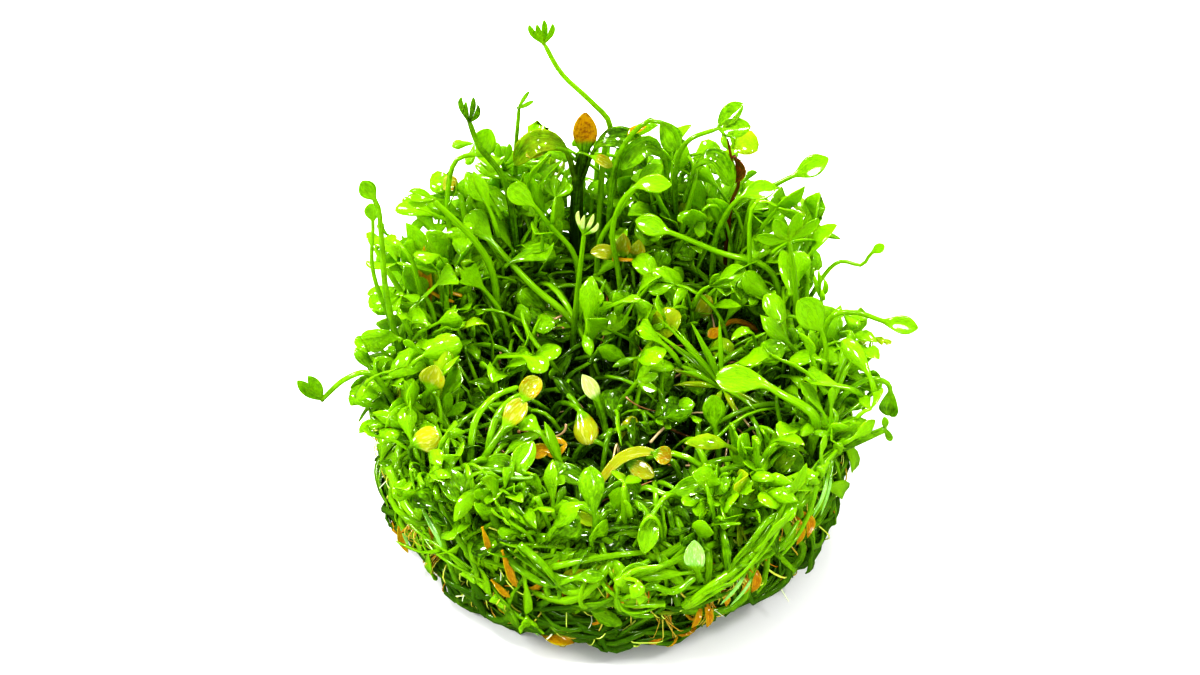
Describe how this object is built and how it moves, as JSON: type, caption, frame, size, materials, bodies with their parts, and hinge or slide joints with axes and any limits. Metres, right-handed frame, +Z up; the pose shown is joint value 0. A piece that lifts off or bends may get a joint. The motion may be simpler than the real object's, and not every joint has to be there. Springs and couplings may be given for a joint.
{
  "type": "dwarf water clover clump",
  "caption": "Round tissue-cultured clump of dwarf water clover: a knitted puck of runners and roots, flat below, with clover leaves on thin stalks all over its rim and dished top.",
  "frame": {"origin": "centre of the flat underside of the root mat", "axes": "+Z up, -Y towards the low front side of the clump, +X to the right seen from the front"},
  "size_m": [0.1083, 0.0868, 0.0795],
  "materials": {
    "root_mat": "wet, knitted green stems and roots",
    "fresh_leaf": "bright lime, wet satin",
    "shaded_leaf": "dark green, wet gloss",
    "runner": "smooth wet stem",
    "pale_bud": "pale green, downy",
    "yellow_leaf": "yellow, thin and satin",
    "withered": "orange brown, dry"
  },
  "bodies": {
    "root": {"root_mat": "root_mat", "plantlet_rim_1": "fresh_leaf", "plantlet_rim_2": "fresh_leaf", "plantlet_rim_3": "fresh_leaf", "plantlet_rim_4": "fresh_leaf", "plantlet_rim_5": "fresh_leaf", "plantlet_rim_6": "fresh_leaf", "plantlet_rim_7": "fresh_leaf", "plantlet_rim_8": "fresh_leaf", "plantlet_rim_9": "fresh_leaf", "plantlet_rim_10": "fresh_leaf", "plantlet_inner_1": "shaded_leaf", "plantlet_inner_2": "shaded_leaf", "plantlet_inner_3": "shaded_leaf", "plantlet_inner_4": "shaded_leaf", "frond_tall_curved": "fresh_leaf", "frond_back_left_claw": "fresh_leaf", "frond_back_slim": "fresh_leaf", "frond_back_left_round": "fresh_leaf", "frond_back_arched": "fresh_leaf", "frond_back_right_high": "fresh_leaf", "frond_back_right_spoon": "fresh_leaf", "frond_right_far_spoon": "fresh_leaf", "frond_right_fan": "fresh_leaf", "frond_right_long": "fresh_leaf", "frond_centre_arch": "fresh_leaf", "frond_centre_twin": "fresh_leaf", "frond_back_left_bright": "fresh_leaf", "frond_left_long": "fresh_leaf", "frond_left_folded": "fresh_leaf", "frond_pale_bud": "pale_bud", "frond_left_tall": "fresh_leaf", "frond_left_slim": "fresh_leaf", "frond_left_outlier": "fresh_leaf", "frond_left_spoon": "fresh_leaf", "frond_left_toothed": "fresh_leaf", "frond_yellow_cup": "yellow_leaf", "frond_left_lobed": "fresh_leaf", "frond_yellow_round": "yellow_leaf", "frond_double_yellow": "yellow_leaf", "frond_pale_front": "pale_bud", "frond_yellow_bud": "yellow_leaf", "frond_three_leaflet": "fresh_leaf", "frond_yellow_curved": "yellow_leaf", "frond_big_right": "fresh_leaf", "frond_right_small_spoon": "fresh_leaf", "frond_right_yellow_round": "yellow_leaf", "frond_right_paddle": "fresh_leaf", "frond_right_curl": "fresh_leaf", "frond_right_hook": "fresh_leaf", "frond_right_low": "fresh_leaf", "frond_right_upright": "fresh_leaf", "withered_leaf_back": "withered", "withered_stalk_back": "withered", "withered_leaf_right": "withered", "withered_cup_front": "withered", "runner_front_right": "runner", "runner_front_loop": "runner", "runner_left": "runner", "spiky_tuft": "fresh_leaf"}
  },
  "joints": []
}
